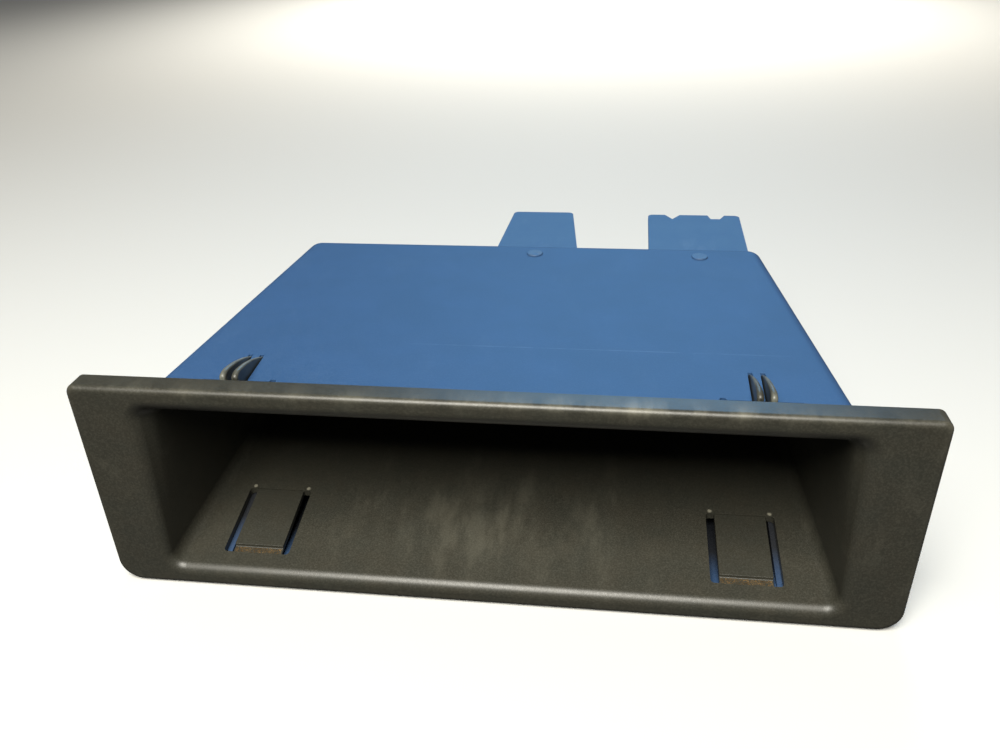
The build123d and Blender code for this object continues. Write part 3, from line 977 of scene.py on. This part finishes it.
@dataclass
class LedgeDust:
    """Dust that has settled on the dropped ledge of a floor tongue."""

    latch: SpringLatch
    grain_low: float = 0.09
    grain_high: float = 0.26
    per_square: float = 22.0
    seed: int = 7

    def ledge(self) -> bmesh.types.BMesh:
        """The strip of the ledge that the dust lies on."""
        latch = self.latch
        margin = self.grain_high
        rows = [latch.ledge_tip + margin, latch.tip_y - margin]
        xs = (latch.x - latch.half_width + margin, latch.x + latch.half_width - margin)
        shape = bmesh.new()
        corners = [(x, y, latch.nest.floor(y, latch.ledge_drop)) for y in rows for x in xs]
        verts = [shape.verts.new(p) for p in corners]
        shape.faces.new((verts[0], verts[1], verts[3], verts[2]))
        return shape

    def tree(self) -> Tree:
        """Geometry Nodes tree that scatters low grains over a strip.

        Returns:
            The tree, with inputs for the grains' number, sizes and material.
        """
        tree = bpy.data.node_groups.new("settled_dust", "GeometryNodeTree")
        interface = tree.interface
        interface.new_socket("Strip", in_out="INPUT", socket_type="NodeSocketGeometry")
        for label in ("Grains per square metre", "Smallest grain", "Largest grain"):
            interface.new_socket(label, in_out="INPUT", socket_type="NodeSocketFloat")
        interface.new_socket("Material", in_out="INPUT", socket_type="NodeSocketMaterial")
        interface.new_socket("Dust", in_out="OUTPUT", socket_type="NodeSocketGeometry")
        given = add_node(tree, "NodeGroupInput", {}, {}).outputs
        points = add_node(
            tree,
            "GeometryNodeDistributePointsOnFaces",
            {"Seed": self.seed},
            {"Mesh": given["Strip"], "Density": given["Grains per square metre"]},
        )
        grain = add_node(tree, "GeometryNodeMeshIcoSphere", {"Radius": 0.5, "Subdivisions": 1}, {})
        turn = add_node(
            tree,
            "FunctionNodeRandomValue",
            {0: (0.0, 0.0, 0.0), 1: (math.tau,) * 3, "Seed": self.seed + 1},
            {},
            data_type="FLOAT_VECTOR",
        )
        size = add_node(
            tree,
            "FunctionNodeRandomValue",
            {"Seed": self.seed + 2},
            {2: given["Smallest grain"], 3: given["Largest grain"]},
            data_type="FLOAT",
        )
        placed = add_node(
            tree,
            "GeometryNodeInstanceOnPoints",
            {},
            {
                "Points": points.outputs["Points"],
                "Instance": grain.outputs["Mesh"],
                "Rotation": turn.outputs[0],
                "Scale": size.outputs[1],
            },
        )
        real = add_node(tree, "GeometryNodeRealizeInstances", {}, {"Geometry": placed.outputs["Instances"]})
        dressed = add_node(
            tree,
            "GeometryNodeSetMaterial",
            {},
            {"Geometry": real.outputs["Geometry"], "Material": given["Material"]},
        )
        add_node(tree, "NodeGroupOutput", {}, {"Dust": dressed.outputs["Geometry"]})
        return tree

    def build(self, material: Finish) -> None:
        """Scatter the grains and let them ride on the tongue.

        Args:
            material: the dust's finish.
        """
        piece = mesh_object(f"ledge_dust_{self.latch.side.word}", self.ledge())
        step = piece.modifiers.new("dust", "NODES")
        step.node_group = self.tree()
        sizes = {
            "Grains per square metre": self.per_square / MM**2,
            "Smallest grain": self.grain_low * MM,
            "Largest grain": self.grain_high * MM,
            "Material": material,
        }
        for socket in step.node_group.interface.items_tree:
            if socket.in_out == "INPUT" and socket.name in sizes:
                step[socket.identifier] = sizes[socket.name]
        bake_modifiers(piece)
        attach(piece, self.latch.name)
        LOG.info("%s: %d faces", piece.name, len(piece.data.polygons))


@dataclass
class Housing:
    """Tapered blue box with its two rear straps and their rivets, all kept as the frame has them."""

    shell: str = "housing_shell"
    straps: str = "rear_strap"
    rivets: str = "strap_rivet"

    def build(self, panel: Finish, strap: Finish, rivet: Finish) -> None:
        """Dress the housing's nodes.

        Args:
            panel: finish of the box.
            strap: finish of the straps.
            rivet: finish of the rivets.
        """
        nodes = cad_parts
        dress(nodes[self.shell], panel)
        for side in Side:
            dress(nodes[f"{self.straps}_{side.word}"], strap)
            dress(nodes[f"{self.rivets}_{side.word}"], rivet)
        LOG.info("housing: shell, two straps and two rivets dressed")


# ---------------------------------------------------------------- stage


@dataclass(frozen=True)
class Studio:
    """Pale floor, soft light and the camera. Its numbers are metres in the object's frame."""

    camera_place: Point = (0.028995, -0.178523, 0.138233)
    camera_right: Point = (0.99177, 0.12491, -0.02795)
    camera_down: Point = (0.03777, -0.49425, -0.86850)
    lens: float = 31.478
    floor_colour: str = "C9C9C7"
    floor_gap: float = 0.0003
    floor_radius: float = 9.0

    def camera(self) -> None:
        """Stand the camera in front of and above the bezel, a little to the right."""
        right, down = Vector(self.camera_right), Vector(self.camera_down)
        data = bpy.data.cameras.new("camera")
        data.lens = self.lens
        data.sensor_width = 36.0
        data.clip_start = 0.01
        data.clip_end = 50.0
        turned = Matrix((right, -down, -right.cross(down))).transposed().to_4x4()
        camera = bpy.data.objects.new("camera", data)
        camera.matrix_world = Matrix.Translation(self.camera_place) @ turned
        bpy.context.scene.collection.objects.link(camera)
        bpy.context.scene.camera = camera

    def floor(self) -> None:
        """Lay a wide pale floor under the lowest point of the object."""
        shape = bmesh.new()
        bmesh.ops.create_circle(shape, cap_ends=True, segments=96, radius=self.floor_radius / MM)
        floor = mesh_object("floor", shape)
        floor.location.z = CAD_BOUNDS[0].z - self.floor_gap
        material = bpy.data.materials.new("pale_paper")
        material.use_nodes = True
        shader = material.node_tree.nodes["Principled BSDF"]
        shader.inputs["Base Color"].default_value = linear(self.floor_colour)
        shader.inputs["Roughness"].default_value = 0.9
        dress(floor, material)
        floor.visible_diffuse = False
        floor.visible_glossy = False

    def light(
        self,
        name: str,
        place: Point,
        aim: Point,
        size: float,
        power: float,
        spread: float,
        tint: str = "FFFBF0",
    ) -> None:
        """Add one square soft light.

        Args:
            name: the light's name.
            place: where it stands.
            aim: the point that it faces.
            size: length of its side.
            power: its power in watts.
            spread: the angle that it lights, in degrees.
            tint: its colour.
        """
        data = bpy.data.lights.new(name, "AREA")
        data.size = size
        data.energy = power
        data.spread = math.radians(spread)
        data.color = linear(tint)[:3]
        lamp = bpy.data.objects.new(name, data)
        lamp.location = place
        lamp.rotation_euler = (Vector(aim) - Vector(place)).to_track_quat("-Z", "Y").to_euler()
        bpy.context.scene.collection.objects.link(lamp)

    def build(self) -> None:
        """Set up the whole studio."""
        self.camera()
        self.floor()
        self.light("front_softbox", (-0.08, -0.53, 0.84), (0.0, 0.03, 0.0), 0.62, 25.0, 180.0)
        self.light("rear_sheen", (0.05, 0.95, 0.60), (0.0, 0.0, 0.03), 0.6, 0.6, 60.0, "89CBFF")
        self.light("rear_floor_wash", (0.0, 1.25, 0.8), (0.0, 1.25, 0.0), 0.9, 9.0, 80.0)
        world = bpy.data.worlds.new("room")
        world.use_nodes = True
        sky = world.node_tree.nodes["Background"]
        sky.inputs["Color"].default_value = linear("EEF1F5")
        sky.inputs["Strength"].default_value = 0.10
        bpy.context.scene.world = world
        bpy.context.scene.view_settings.view_transform = "Standard"


def main() -> None:
    """Build the studio and every piece of the object in order."""
    logging.basicConfig(level=logging.INFO, format="%(name)s: %(message)s")
    Studio().build()
    nest = Nest()
    PocketMoulding(nest).build(BLACK_ABS.build())
    latch_finish, dust_finish = LATCH_ABS.build(), DUST.build()
    for side in Side:
        for wall in Wall:
            latch = SpringLatch(nest, side, wall)
            latch.build(latch_finish)
            if wall is Wall.FLOOR:
                LedgeDust(latch).build(dust_finish)
    Housing().build(BLUE_PP.build(), STRAP_PP.build(), RIVET_PAINT.build())


if __name__ == "__main__":
    main()
